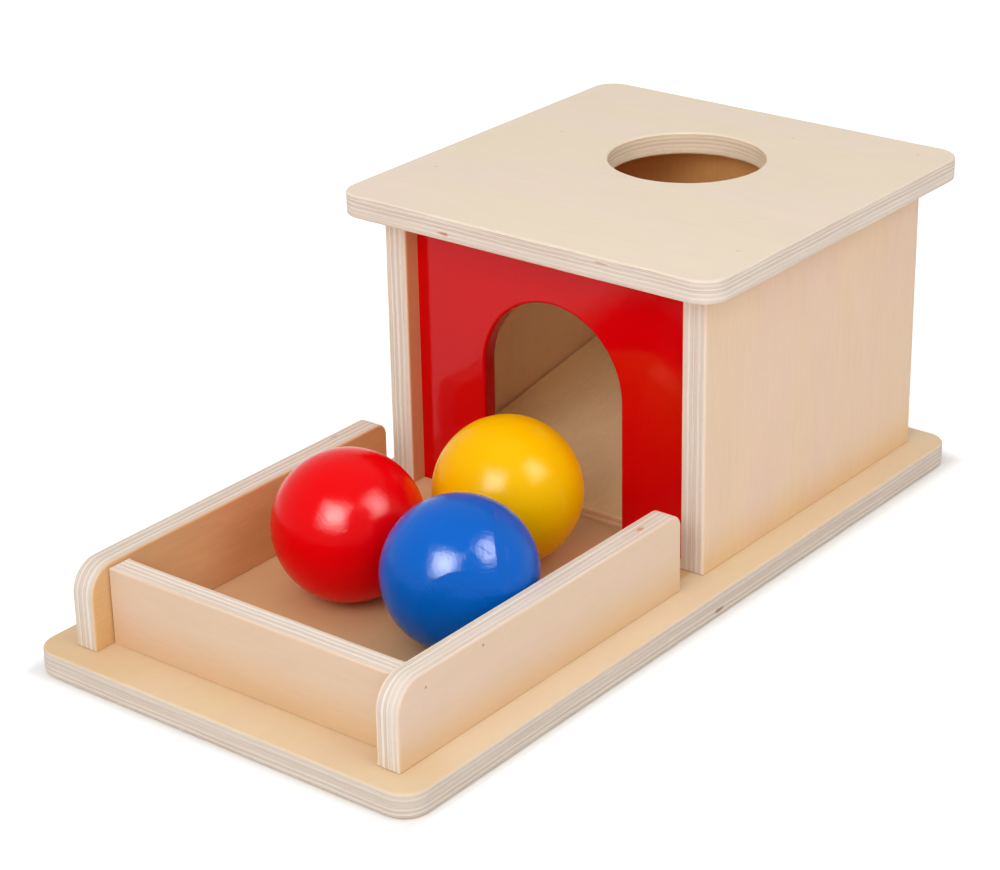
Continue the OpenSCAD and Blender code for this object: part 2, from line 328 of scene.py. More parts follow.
rows_up = [upwards, upwards[-1:], rim_up[::-1], upwards[:1]]
across, up = np.concatenate(rows_across), np.concatenate(rows_up)
points = in_place(across, up, 2, low[2]).reshape(-1, 3)
roof = piece_from("roof", points, [quads(*up.shape, round_rows=True)], "roof_board")

# %% [markdown]
# ## The red front panel
# The doorway reaches the floor, so the panel is an arch with two feet. Its columns follow the doorway from the
# left foot, over the arch and down to the right foot. Each looks outwards to the panel's own edge, and the
# section between is closed like the roof's. The rim is rounder than a sanded edge, since thick paint has
# flowed over it. The two feet are closed by flat caps.

# %% Front panel
ARCH_W, ARCH_H = 56.0, 76.5
RIM_R = 1.0
ARCH_STEPS, FOOT_STEPS = 97, 14

low, high = box_mm("front_panel")
arch_r = ARCH_W / 2
spring_z = low[2] + ARCH_H - arch_r
corner_angle = np.arctan2(high[2] - spring_z, high[0])
angles = np.concatenate([np.linspace(0, np.pi, ARCH_STEPS), [corner_angle, np.pi - corner_angle]])
angles = np.sort(angles)[::-1]
direction = np.stack([np.cos(angles), np.sin(angles)], 1)
reach = np.minimum(
    high[0] / np.maximum(np.abs(direction[:, 0]), 1e-9), (high[2] - spring_z) / np.maximum(direction[:, 1], 1e-9)
)
centre = np.array([0.0, spring_z])
foot_z = np.concatenate([[low[2]], np.linspace(low[2] + SUPPORT, spring_z, FOOT_STEPS)[:-1]])
left_foot = np.stack([np.full_like(foot_z, -arch_r), foot_z], 1)
left_edge = np.stack([np.full_like(foot_z, low[0]), foot_z], 1)
mirror_x = np.array([-1.0, 1.0])
inner = np.concatenate([left_foot, centre + arch_r * direction, (left_foot * mirror_x)[::-1]])
outer = np.concatenate([left_edge, centre + reach[:, None] * direction, (left_edge * mirror_x)[::-1]])
outwards = np.concatenate(
    [np.tile([-1.0, 0.0], (len(foot_z), 1)), direction, np.tile([1.0, 0.0], (len(foot_z), 1))]
)
depth = high[1] - low[1]
rim_in, rim_up = edge_profile(np.full(len(inner), RIM_R), depth)
rim_in = np.where(rim_in < PLY_RELIEF * 1.01, 0.0, rim_in)
rim = inner + rim_in[..., None] * outwards
edge_in, edge_up = edge_profile(np.full(len(outer), JOINT), depth)
edge = outer - edge_in[..., None] * outwards
face = 0.5 * rim[[0, -1]] + 0.5 * edge[[0, -1]]
across = np.concatenate([rim, face[1:], edge[::-1], face[:1]])
up = np.concatenate([rim_up, rim_up[-1:], edge_up[::-1], rim_up[:1]])
rows, columns = up.shape
points = np.stack([across[..., 0], low[1] + up, across[..., 1]], -1).transpose(1, 0, 2).reshape(-1, 3)
caps = [np.arange(rows)[None, ::-1], (np.arange(rows) + (columns - 1) * rows)[None, :]]
panel_faces = [quads(columns, rows), *caps]
if volume_of(points, panel_faces) < 0:
    panel_faces = [group[:, ::-1] for group in panel_faces]
panel = piece_from("front_panel_board", points, panel_faces, "front_panel")

# %% [markdown]
# ## The three balls
# A wooden ball is turned on a lathe between two points, so it is a sphere that is never quite perfect. It is
# out of round by a few hundredths of a millimetre, and each end of its axis keeps a shallow dimple under the
# paint. The three balls lie with their axes in different directions.

# %% Balls
LATITUDES, LONGITUDES = 97, 192
OUT_OF_ROUND = 0.03
DIMPLE_R, DIMPLE_DEPTH = 0.09, 0.12


def turned_ball(name, node, body, axis):
    """Radius times direction on a grid of two angles, with a slow ripple and a dimple at each pole.

    The ripple is OUT_OF_ROUND (cos(2 polar) cos(3 around) - 1), so it never adds to the radius. A dimple is
    DIMPLE_DEPTH exp(-(angle / DIMPLE_R)^2) deep, at an angle from its pole."""
    low, high = box_mm(node)
    middle, radius = (low + high) / 2, (high - low).mean() / 2
    polar = np.linspace(0, np.pi, LATITUDES)[1:-1, None]
    around = np.linspace(0, 2 * np.pi, LONGITUDES, endpoint=False)[None, :]
    size = radius - OUT_OF_ROUND + OUT_OF_ROUND * np.cos(2 * polar) * np.cos(3 * around)
    for from_pole in (polar, np.pi - polar):
        size = size - DIMPLE_DEPTH * np.exp(-((from_pole / DIMPLE_R) ** 2))
    up = np.asarray(axis, float) / np.linalg.norm(axis)
    side = np.cross(up, [0.3, 0.9, 0.2])
    side /= np.linalg.norm(side)
    ahead = np.cross(up, side)
    ring = np.cos(around)[..., None] * side + np.sin(around)[..., None] * ahead
    points = middle + size[..., None] * (np.sin(polar)[..., None] * ring + np.cos(polar)[..., None] * up)
    poles = middle + np.array([[1.0], [-1.0]]) * (radius - DIMPLE_DEPTH) * up
    rows, columns = size.shape
    last = np.arange(columns) + (rows - 1) * columns
    faces = [quads(rows, columns)[:, ::-1], fan(np.arange(columns), rows * columns, False)]
    faces.append(fan(last, rows * columns + 1, True))
    return piece_from(name, np.concatenate([points.reshape(-1, 3), poles]), faces, node, body), middle, up


balls = {
    "red": turned_ball("ball_red_turned", "ball_red", "red_ball", (0.55, 0.35, 0.75)),
    "blue": turned_ball("ball_blue_turned", "ball_blue", "blue_ball", (0.69, -0.33, 0.64)),
    "yellow": turned_ball("ball_yellow_turned", "ball_yellow", "yellow_ball", (-0.5, 0.2, 0.85)),
}

# %% [markdown]
# ## Where the plies lie
# Plywood is a stack, so its pattern depends on one thing: how deep a point lies in the board. Two marks are
# stored on the mesh. One is that depth in millimetres. The other is how much the surface cuts across the stack,
# from the normal: 0 on a face, where only one veneer shows, and 1 on an edge, where all of them do.

# %% Depth and cut
CUT_BELOW, CUT_SPAN = 0.93, 0.5


def mark_plies(piece, stack_axis, start):
    """Stores depth = (point - start) . axis in mm, and cut, rising from 0 to 1 as the normal leaves the axis."""
    mesh = piece.data
    count = len(mesh.vertices)
    points, normals = np.empty(count * 3), np.empty(count * 3)
    mesh.vertices.foreach_get("co", points)
    mesh.vertex_normals.foreach_get("vector", normals)
    stack_axis = np.asarray(stack_axis, float) / np.linalg.norm(stack_axis)
    lean = np.abs(normals.reshape(-1, 3) @ stack_axis)
    marks = {
        "depth": points.reshape(-1, 3) @ stack_axis / MM - np.dot(start, stack_axis),
        "cut": np.clip((CUT_BELOW - lean) / CUT_SPAN, 0, 1),
    }
    for mark, values in marks.items():
        mesh.attributes.new(mark, "FLOAT", "POINT").data.foreach_set("value", values.astype(np.float32))
    return float(marks["depth"].max())


AXIS = np.eye(3)
stacks = {}
for piece, node, axis in [
    (base, "base_board", 2), (roof, "roof_board", 2), (back, "back_panel", 1),
    (rails["front"], "tray_rail_front", 1), (rails["left"], "tray_rail_left", 0),
    (rails["right"], "tray_rail_right", 0),
    (walls["left"], "house_wall_left", 0), (walls["right"], "house_wall_right", 0),
]:
    stacks[piece.name] = mark_plies(piece, AXIS[axis], box_mm(node)[0])
ramp_low = box_mm("ramp_board")[0]
slope_normal = np.array([0.0, -slope, 1.0]) / np.hypot(1, slope)
RAMP_T = 5.0
ramp_top = np.array([0.0, ramp_low[1], lip_z])
stacks["ramp"] = mark_plies(ramp, slope_normal, ramp_top - RAMP_T * slope_normal)
mark_plies(batten, AXIS[1], batten_low)
print({name: round(depth, 2) for name, depth in stacks.items()})

# %% [markdown]
# ## Writing shaders as sums
# A node tree is easier to read as arithmetic. The class below wraps one socket, and adding or multiplying two
# of them adds a Math node. Every other node comes from one method, which takes the node's type, its settings
# and the values or links of its sockets. Colours go through Mix nodes, because a Math node would turn them grey.

# %% Shader expressions
BUMP_MM = 0.2


class Finish:
    """A material and its node tree, with the one method that makes its nodes."""

    def __init__(self, name):
        self.material = bpy.data.materials.new(name)
        self.material.use_nodes = True
        self.tree = self.material.node_tree
        self.shader = self.tree.nodes["Principled BSDF"]

    def node(self, kind, settings=None, sockets=None, out=0):
        """A node of this type: settings first, then each socket's value or link. Gives one of its outputs."""
        made = self.tree.nodes.new(kind)
        for key, value in (settings or {}).items():
            if key == "stops":
                ramp_stops(made.color_ramp, value)
            else:
                setattr(made, key, value)
        for key, value in (sockets or {}).items():
            self.join(made.inputs[key], value)
        return Socket(self, made.outputs[out])

    def join(self, socket, value):
        """Links a socket to an expression, or sets it to a number, vector or colour."""
        if isinstance(value, Socket):
            self.tree.links.new(value.socket, socket)
        else:
            socket.default_value = value

    def mix(self, part, first, second, blend="MIX"):
        """A colour between two colours, or their blend."""
        settings = {"data_type": "RGBA", "blend_type": blend}
        return self.node("ShaderNodeMix", settings, {0: part, 6: first, 7: second}, 2)

    def where(self, scale, shift=(0, 0, 0)):
        """The point on the object in millimetres, stretched by a scale for each axis and shifted."""
        point = self.node("ShaderNodeTexCoord", out="Object")
        scale = [value / MM for value in scale]
        return self.node("ShaderNodeMapping", None, {"Vector": point, "Scale": scale, "Location": shift})

    def noise(self, scale, shift=(0, 0, 0), detail=2.0, rough=0.5, warp=0.0):
        """Smooth noise about 0.5 at so many waves per millimetre along X, Y and Z."""
        sockets = {"Vector": self.where(scale, shift), "Scale": 1.0, "Detail": detail}
        sockets |= {"Roughness": rough, "Distortion": warp}
        return self.node("ShaderNodeTexNoise", {"noise_dimensions": "3D"}, sockets, "Fac")

    def mark(self, name):
        """A mark stored on the mesh."""
        return self.node("ShaderNodeAttribute", {"attribute_name": name}, None, "Fac")

    def clear(self, value, low, high):
        """0 below low, 1 above high and a smooth step between."""
        settings = {"interpolation_type": "SMOOTHSTEP"}
        sockets = {"Value": value, "From Min": low, "From Max": high}
        return self.node("ShaderNodeMapRange", settings, sockets, "Result")

    def bump(self, height, strength):
        """Links a height, in units of BUMP_MM, to the shader's normal."""
        sockets = {"Height": height, "Strength": strength, "Distance": BUMP_MM * MM}
        self.join(self.shader.inputs["Normal"], self.node("ShaderNodeBump", None, sockets))

    def set(self, **values):
        """Sets or links the shader's own sockets; an underscore in a name stands for a space."""
        for key, value in values.items():
            self.join(self.shader.inputs[key.replace("_", " ")], value)


class Socket:
    """One output in a finish. Arithmetic on it adds Math nodes."""

    def __init__(self, finish, socket):
        self.finish, self.socket = finish, socket

    def math(self, operation, first, second):
        return self.finish.node("ShaderNodeMath", {"operation": operation}, {0: first, 1: second})

    def __add__(self, other):
        return self.math("ADD", self, other)

    def __radd__(self, other):
        return self.math("ADD", other, self)

    def __sub__(self, other):
        return self.math("SUBTRACT", self, other)

    def __rsub__(self, other):
        return self.math("SUBTRACT", other, self)

    def __mul__(self, other):
        return self.math("MULTIPLY", self, other)

    def __rmul__(self, other):
        return self.math("MULTIPLY", other, self)

    def __truediv__(self, other):
        return self.math("DIVIDE", self, other)


def ramp_stops(color_ramp, stops):
    """Gives a colour ramp these stops, each a position and a colour."""
    while len(color_ramp.elements) > 1:
        color_ramp.elements.remove(color_ramp.elements[-1])
    color_ramp.elements[0].position, color_ramp.elements[0].color = stops[0]
    for position, color in stops[1:]:
        color_ramp.elements.new(position).color = color


def srgb(red, green, blue):
    """A colour as it is read off a screen, from 0 to 255, in the linear light that shaders use."""
    value = np.array([red, green, blue]) / 255
    linear = np.where(value <= 0.04045, value / 12.92, ((value + 0.055) / 1.055) ** 2.4)
    return (*linear.tolist(), 1.0)


# %% [markdown]
# ## The edge of plywood
# An edge shows the whole stack. Sheets whose grain runs along the edge look bright and silky. Those cut across
# look duller and greyer, and some of the glue lines between them have gone brown. A colour ramp over the depth
# gives the sheets their order. Real sheets aren't straight, so the depth is bent by a slow noise, and short
# fibres, drawn out along the edge, break up every line.

# %% Sheets in a stack
LONG_PLY = srgb(242, 231, 217)
CROSS_PLY = srgb(220, 203, 188)
GLUE_LINE = srgb(190, 152, 126)
BLUSH = srgb(226, 192, 168)
GLUE_HALF = 0.016


def blend_of(first, second, part):
    """A colour part of the way from one to another."""
    return tuple(a + (b - a) * part for a, b in zip(first, second))


def stack_stops(seed, sheets, face, under_face):
    """Stops of two ramps over the depth of a stack: the sheets' colours, and where a glue line is dark.

    Sheets are bright and dull in turn, each of its own thickness and shade. The outer ones lean to the face,
    and under_face is how dark the line under the high face is."""
    draw = np.random.default_rng(seed)
    thickness = draw.uniform(0.7, 1.3, sheets) * np.where(np.arange(sheets) % 2, 1.2, 0.85)
    border = (np.concatenate([[0], np.cumsum(thickness)]) / thickness.sum()).tolist()
    sheet_colors, glue = [], [(0.0, (0, 0, 0, 1))]
    for k in range(sheets):
        color = blend_of(LONG_PLY, CROSS_PLY, (k % 2) * 0.6 + draw.uniform(0, 0.4))
        if k in (0, sheets - 1):
            color = blend_of(color, face, 0.6)
        fade = 0.2 * (border[k + 1] - border[k])
        sheet_colors += [(border[k] + fade, color), (border[k + 1] - fade, color)]
        if 0 < k < sheets:
            dark = under_face if k == sheets - 1 else draw.uniform(0.0, 1.0)
            line = ((-GLUE_HALF, 0), (0, dark), (GLUE_HALF, 0))
            glue += [(border[k] + step, (value,) * 3 + (1,)) for step, value in line]
    return sheet_colors, glue


print("stops in a stack of nine:", [len(stops) for stops in stack_stops(1, 9, LONG_PLY, 0.5)])

# %% Colour of an edge


def stretched(long_axis, along, across):
    """A scale for each axis: along on one axis and across on the other two."""
    return [along if axis == long_axis else across for axis in range(3)]


def stack_color(finish, stack, thickness, shift, stops):
    """The ramps over the bent depth, with patchy glue lines, times fibres. Gives the colour and the fibres."""
    depth = finish.mark("depth")
    wander = finish.noise(stretched(stack, 0.05, 0.025), shift, 1.0)
    quiver = finish.noise(stretched(stack, 0.35, 0.18), shift, 2.0)
    level = (depth + 0.9 * (wander - 0.5) + 0.4 * (quiver - 0.5)) / thickness
    sheet = finish.node("ShaderNodeValToRGB", {"stops": stops[0]}, {"Fac": level}, "Color")
    line = finish.node("ShaderNodeValToRGB", {"stops": stops[1]}, {"Fac": level}, "Color")
    patchy = finish.clear(finish.noise(stretched(stack, 0.6, 0.03), shift, 2.0), 0.36, 0.6)
    sheet = finish.mix(patchy * finish.node("ShaderNodeRGBToBW", None, {0: line}), sheet, GLUE_LINE)
    fibres = finish.noise(stretched(stack, 2.4, 0.035), shift, 3.0, 0.7)
    ends = finish.noise(stretched(stack, 2.0, 0.5), shift, 3.0, 0.6)
    blush = finish.clear(finish.noise(stretched(stack, 1.1, 0.02), shift, 2.0), 0.55, 0.75)
    sheet = finish.mix(0.35 * blush, sheet, BLUSH)
    return finish.mix(1.0, sheet, 1 + 0.3 * (fibres - 0.5) + 0.16 * (ends - 0.5), "MULTIPLY"), fibres


# %% [markdown]
# ## The face of plywood
# A face is one sheet of pale veneer, sealed with a thin matt lacquer. From a distance it is almost plain. Close
# up it has fine fibres along the grain, soft clouds and strips where the cutter met the growth rings, short pores,
# and here and there a pin knot. Inside the house and the tray the veneer carries painted shade and painted light:
# warmer tints, darker where those faces lie in shade and lighter where light comes in. Along the foot of each
# upright board a golden band is painted for the light that the base throws up onto it.

# %% Colour of a face
GOLDEN, PINKISH = (1.0, 1.005, 0.95, 1), (1.0, 0.985, 1.015, 1)


def veneer_color(finish, grain, shift, color, figured):
    """Small factors on the colour, for fibres, streaks, clouds and pores, and broad strips towards pink or gold.

    Gives the colour and the fibres."""
    fibres = finish.noise(stretched(grain, 0.14, 1.5), shift, 2.0, 0.6)
    streaks = finish.noise(stretched(grain, 0.03, 0.5), shift, 2.0, 0.6, 0.5)
    clouds = finish.noise(stretched(grain, 0.025, 0.05), shift, 2.0, 0.5, 0.8)
    pores = finish.clear(finish.noise(stretched(grain, 0.2, 2.4), shift, 1.0), 0.66, 0.8)
    tone = 1 + figured * (0.1 * (fibres - 0.5) + 0.06 * (streaks - 0.5) + 0.1 * (clouds - 0.5) - 0.05 * pores)
    strips = finish.noise(stretched(grain, 0.008, 0.035), shift, 2.0, 0.45, 0.6)
    tint = finish.mix(finish.clear(strips, 0.36, 0.64), GOLDEN, PINKISH)
    color = finish.mix(1.0, color, finish.mix(min(figured, 1.0), (1, 1, 1, 1), tint), "MULTIPLY")
    return finish.mix(1.0, color, tone, "MULTIPLY"), fibres


def pin_marks(finish, color, shift, pins):
    """Darkens round spots with ragged rims.

    Each pin is a point, a radius along each axis, a strength and a colour."""
    ragged = finish.noise([0.9] * 3, shift, 3.0)
    for point, radii, strength, mark_color in pins:
        scale = [1 / value for value in radii]
        offset = finish.where(scale, [-value / radius for value, radius in zip(point, radii)])
        span = finish.node("ShaderNodeVectorMath", {"operation": "LENGTH"}, {0: offset}, "Value")
        color = finish.mix(strength * finish.clear(span + (ragged - 0.5), 1.0, 0.3), color, mark_color)
    return color


# %% Plywood
# Painted light: the first colour is the golden light that the base throws up onto the foot of an upright board,
# the second a lighter stack on the wall of the roof's hole, which lies in shade.
FOOT_BOUNCE, HOLE_LIGHT = (1.0, 0.92, 0.72, 1), (1.15, 1.1, 0.97, 1)
BOUNCE_H, BOUNCE_FADE = 8.0, 9.0
MATT = 0.016


def within(finish, ranges):
    """1 inside the ranges along X, Y or Z, each a low end, a high end and how far it fades, in mm; 0 outside."""
    part = 1.0
    for name, (low, high, fade) in ranges.items():
        value = finish.node("ShaderNodeSeparateXYZ", None, {0: finish.where([1, 1, 1])}, name)
        part = finish.clear(value, low - fade, low + fade) * finish.clear(value, high + fade, high - fade) * part
    return part


def plywood(
    piece, stack, grain, faces, seed, sheets=9, figured=1.0, edge=1.0, line=0.3, pins=(), parts=(), foot=None,
    brightened=None, alike=None,
):
    """Veneer on the faces and the stack on the edges.

    stack and grain are axes. faces gives the veneer's colour on the low and high face. edge brightens or dulls
    the stack, and line darkens the glue under the high face. parts are colours and the ranges of the high face
    that have them. foot is the height up to which a golden band of painted bounce light from the base reaches,
    bared the ranges whose stack is painted lighter where it lies in shade, and alike those where the low face
    looks like the high one."""
    finish = Finish(f"plywood_{piece.name}")
    thickness = stacks[piece.name]
    shift = [7.3 * seed, 3.1 * seed, 5.7 * seed]
    upper = finish.clear(finish.mark("depth") / thickness, 0.45, 0.55)
    if alike:
        upper = upper + (1.0 - upper) * within(finish, alike)
    face = finish.mix(upper, faces[0], faces[1])
    for color, ranges in parts:
        face = finish.mix(upper * within(finish, ranges), face, color)
    # Painted bounce light: a golden band up the foot of the board.
    if foot is not None:
        bounce_band = within(finish, {"Z": (-50.0, foot + BOUNCE_H, BOUNCE_FADE)})
        face = finish.mix(bounce_band, face, finish.mix(1.0, face, FOOT_BOUNCE, "MULTIPLY"))
    face, grain_fibres = veneer_color(finish, grain, shift, face, figured)
    stops = stack_stops(seed, sheets, blend_of(faces[1], LONG_PLY, 0.3), line)
    sheet, fibres = stack_color(finish, stack, thickness, shift, stops)
    # Painted light: a lighter stack where an edge lies in shade.
    if brightened:
        sheet = finish.mix(within(finish, brightened), sheet, finish.mix(1.0, sheet, HOLE_LIGHT, "MULTIPLY"))
    cut = finish.mark("cut")
    color = finish.mix(cut, face, finish.mix(1.0, sheet, (*np.broadcast_to(edge, 3).tolist(), 1), "MULTIPLY"))
    finish.set(Base_Color=pin_marks(finish, color, shift, pins), Specular_IOR_Level=MATT)
    finish.set(Roughness=0.56 + 0.14 * (grain_fibres - 0.5) + 0.1 * cut)
    finish.bump(0.4 * grain_fibres + 0.6 * cut * fibres, 0.18)
    piece.data.materials.append(finish.material)
    return finish


# %% [markdown]
# ## Dressing the boards
# Each board gets its own seed, so no two show the same stack, and its own marks where the real one has them: a
# knot in the right edge of the base, an orange one on top of the right rail, a few pins.

# %% Boards dressed
CREAM = srgb(237, 220, 199)
WALL_TAN = srgb(237, 208, 182)
RAIL_TAN = srgb(233, 206, 182)
FRONT_TAN = srgb(224, 195, 172)
BASE_GOLD = srgb(232, 208, 175)
FRONT_GOLD = srgb(223, 192, 151)
FRONT_PALE = srgb(229, 202, 166)
# Painted shade: the next four colours are darker, warmer tints for the tray floor, the rails' inner faces, the
# rear of the left rail inside and the left wall's strip in front of the panel, which lie in shade.
TRAY_SHADE_TAN = srgb(220, 183, 137)
INNER_SHADE_TAN = srgb(227, 185, 136)
REAR_SHADE_TAN = srgb(226, 174, 118)
PORCH_SHADE_TAN = srgb(216, 156, 114)
# Painted light and shade inside the house: the first and last colour below are lighter, warmer tints where light
# comes in at the doorway and the hole, the middle one a darker orange for the faces that lie deep in shade.
HOUSE_LIGHT_TAN = srgb(250, 214, 166)
HOUSE_SHADE_TAN = srgb(224, 168, 106)
RAMP_LIGHT_TAN = srgb(252, 220, 168)
KNOT, ORANGE_KNOT = srgb(186, 118, 66), srgb(214, 140, 84)
PIN, GREY = srgb(140, 100, 76), srgb(176, 160, 148)

roof_top, roof_front = box_mm("roof_board")[1][2], box_mm("roof_board")[0][1]
roof_pins = [((x, y, roof_top), (0.9, 0.9, 0.9), 0.35, GREY) for x, y in (
    (-63.6, 36.0), (-51.7, 91.3), (18.6, 130.7), (63.0, 139.3), (65.1, 26.1))]
roof_pins += [((-29.0, roof_front, 109.0), (3.2, 1.5, 0.7), 0.8, KNOT)]
roof_pins += [((34.0, roof_front, 112.4), (4.0, 1.5, 0.6), 0.4, KNOT)]
rim_out = HOLE_R + 2
hole_part = {"X": (-rim_out, rim_out, 1.0), "Y": (HOLE_Y - rim_out, HOLE_Y + rim_out, 1.0)}
# The wall of the posting hole is painted lighter, where it lies in shade.
plywood(roof, 2, 0, (HOUSE_LIGHT_TAN, CREAM), 1, 11, figured=0.6, edge=0.98, line=1.0, pins=roof_pins, brightened=hole_part)

tray_x = (box_mm("tray_rail_left")[1][0] - 4, box_mm("tray_rail_right")[0][0] + 4, 1.0)
tray_y = (box_mm("tray_rail_front")[1][1] - 4, box_mm("front_panel")[1][1], 1.0)
front_y = (-200.0, box_mm("tray_rail_front")[0][1], 14.0)
base_side, base_top = box_mm("base_board")[1][0], box_mm("base_board")[1][2]
base_pins = [((base_side, 3.0, 2.5), (1.5, 3.4, 1.1), 0.7, PIN)]
base_parts = [(FRONT_GOLD, {"Y": front_y}), (FRONT_PALE, {"X": (-38.0, 90.0, 22.0), "Y": front_y})]
# The tray floor between the rails gets painted shade.
base_parts += [(TRAY_SHADE_TAN, {"X": tray_x, "Y": tray_y})]
plywood(base, 2, 1, (BASE_GOLD, BASE_GOLD), 2, 11, figured=0.6, edge=0.86, pins=base_pins, parts=base_parts)

rail_side, rail_top = box_mm("tray_rail_right")[1][0], box_mm("tray_rail_right")[1][2]
right_pins = [((rail_side, y, z), (0.6, 0.6, 0.6), 0.7, PIN) for y, z in ((-129.0, 31.0), (-103.0, 33.0))]
right_pins += [((61.0, -20.0, rail_top), (1.3, 2.6, 1.0), 0.8, ORANGE_KNOT)]
left_pins = [((-62.4, -23.0, rail_top), (0.8, 2.5, 1.0), 0.5, GREY)]
# Painted shade: the left rail's inner face darkens towards the rear of the tray.
rear_shade = [(REAR_SHADE_TAN, {"Y": (-62.0, 100.0, 45.0)})]
plywood(rails["left"], 0, 1, (RAIL_TAN, INNER_SHADE_TAN), 3, figured=1.5, edge=0.94, pins=left_pins, parts=rear_shade)
# The right and front rails and the right wall get the painted band of bounce light along their feet.
plywood(rails["right"], 0, 1, (INNER_SHADE_TAN, RAIL_TAN), 4, figured=0.6, edge=1.0, pins=right_pins, foot=base_top)
plywood(rails["front"], 1, 0, (FRONT_TAN, INNER_SHADE_TAN), 5, figured=0.8, edge=1.04, foot=base_top)
# Painted shade on the left wall's inner strip in front of the red panel.
porch_shade = [(PORCH_SHADE_TAN, {"Y": (0.0, box_mm("front_panel")[0][1] + 2, 1.0)})]
plywood(walls["left"], 0, 2, (WALL_TAN, HOUSE_LIGHT_TAN), 6, edge=1.02, parts=porch_shade)
behind = {"Y": (box_mm("back_panel")[1][1] - 2, 300.0, 1.0)}
# The right wall's inner face and the back panel's front carry the painted shade of the house.
plywood(walls["right"], 0, 2, (HOUSE_SHADE_TAN, WALL_TAN), 7, figured=0.8, edge=1.02, foot=base_top, alike=behind)
plywood(back, 1, 2, (HOUSE_SHADE_TAN, WALL_TAN), 8, 5)
# The ramp's top and its front edge are painted lighter and more orange, for the light bounced into the doorway.
plywood(ramp, 2, 1, (HOUSE_LIGHT_TAN, RAMP_LIGHT_TAN), 9, 5, figured=1.6, edge=(1.1, 0.9, 0.66), line=1.0)
print("plywood boards:", len(stacks))

# %% [markdown]
# ## Lacquer
# The balls are dipped in gloss paint and polished. The polish isn't perfect. The surface is slightly wavy and
# pitted, fine grooves circle the axis from the lathe, and on two of the balls a rubbed spot ends in a sharp
# ridge, which cuts the highlights off along a clean curve. All of that is far too shallow to model, so it is a
# height for the bump. The front panel has the same paint, put on flat with a roller.

# %% Grooves and rubbed spots
RUB_FALL = 2.5


def along(finish, middle, axis):
    """How far a point lies from a middle along an axis, in mm."""
    sockets = {0: finish.where([1, 1, 1], [-value for value in middle]), 1: list(axis)}
    return finish.node("ShaderNodeVectorMath", {"operation": "DOT_PRODUCT"}, sockets, "Value")


def grooves(finish, middle, axis, radius):
    """One-dimensional noise of the distance over the surface from a pole, bent a little and in patches."""
    lean = finish.node("ShaderNodeMath", {"operation": "ARCCOSINE"}, {0: along(finish, middle, axis) / radius})
    bent = radius * lean + 0.5 * finish.noise([0.12] * 3, (8.0, 3.0, 2.0), 1.0)
    sockets = {"W": bent, "Scale": 1.1, "Detail": 1.5, "Roughness": 0.6}
    lines = finish.node("ShaderNodeTexNoise", {"noise_dimensions": "1D"}, sockets, "Fac")
    return lines * finish.clear(finish.noise([0.14] * 3, (5.0, 1.0, 9.0), 1.0), 0.36, 0.6)


def rubbed(finish, middle, spot):
    """The height of a spot that is rubbed down: it falls at a steady slope from a circle round an axis.

    A spot is an axis, the circle's level along it and the depth in mm. The fall ends RUB_FALL further along."""
    axis, level, depth = spot
    settings, over = {"interpolation_type": "LINEAR"}, along(finish, middle, axis)
    sockets = {"Value": over, "From Min": level, "From Max": level + RUB_FALL}
    fall = finish.node("ShaderNodeMapRange", settings, sockets)
    return fall * (-depth / BUMP_MM)


# %% Gloss paint


def lacquer(piece, name, color, shade, roughness, gloss, heights, turning=None, spots=(), rim_shade=0.0):
    """Gloss paint. The colour drifts a little towards a shade, scuffs dull it, and a bump gives the polish.

    heights are those of the waves, the pits and the grooves, in units of BUMP_MM. turning is a ball's
    middle, axis and radius. soaked is painted shade: it darkens the cut edges of a board, such as the doorway's
    reveal, by that part. Gloss is the shader's own specular level."""
    finish = Finish(name)
    drift = finish.noise([0.03] * 3, (2.0, 5.0, 1.0), 2.0)
    scuffs = finish.clear(finish.noise([0.35] * 3, (4.0, 1.0, 7.0), 4.0, 0.65, 1.2), 0.52, 0.75)
    height = heights[0] * finish.noise([0.3] * 3, (6.0, 2.0, 4.0), 1.0)
    height = height + heights[1] * finish.noise([1.2] * 3, (1.0, 2.0, 3.0), 2.0, 0.6)
    if turning:
        height = height + heights[2] * grooves(finish, *turning)
    for spot in spots:
        height = height + rubbed(finish, turning[0], spot)
    paint = finish.mix(finish.clear(drift, 0.3, 0.7) * 0.5, color, shade)
    # Painted shade on the cut edges, such as the doorway's reveal.
    if rim_shade:
        dark = tuple(value * (1 - rim_shade) for value in color[:3]) + (1,)
        paint = finish.mix(finish.mark("cut"), paint, dark)
    finish.set(Base_Color=paint)
    finish.set(Roughness=roughness + 0.05 * scuffs, Specular_IOR_Level=gloss)
    finish.bump(height, 1.0)
    piece.data.materials.append(finish.material)
    return finish


BALL_PAINT = {
    "red": (srgb(240, 0, 8), srgb(232, 0, 6), 0.14, 0.085, (0.35, 0.38, 0.3)),
    "blue": (srgb(0, 99, 200), srgb(0, 93, 192), 0.11, 0.115, (0.3, 0.4, 0.36)),
    "yellow": (srgb(255, 196, 0), srgb(255, 188, 0), 0.21, 0.044, (0.3, 0.1, 0.06)),
}
RUBBED = {
    "red": [((0.705, -0.578, 0.411), 23.97, 0.25)],
    "blue": [((0.654, -0.753, -0.073), 20.7, 0.75), ((0.828, 0.511, 0.232), 15.9, 0.5)],
    "yellow": [],
}
for hue, paint in BALL_PAINT.items():
    ball, middle, axis = balls[hue]
    turning = (middle, axis, np.ptp(box_mm(f"ball_{hue}"), axis=0).mean() / 2)
    lacquer(ball, f"lacquer_{hue}_ball", *paint, turning, RUBBED[hue])
mark_plies(panel, AXIS[1], box_mm("front_panel")[0])
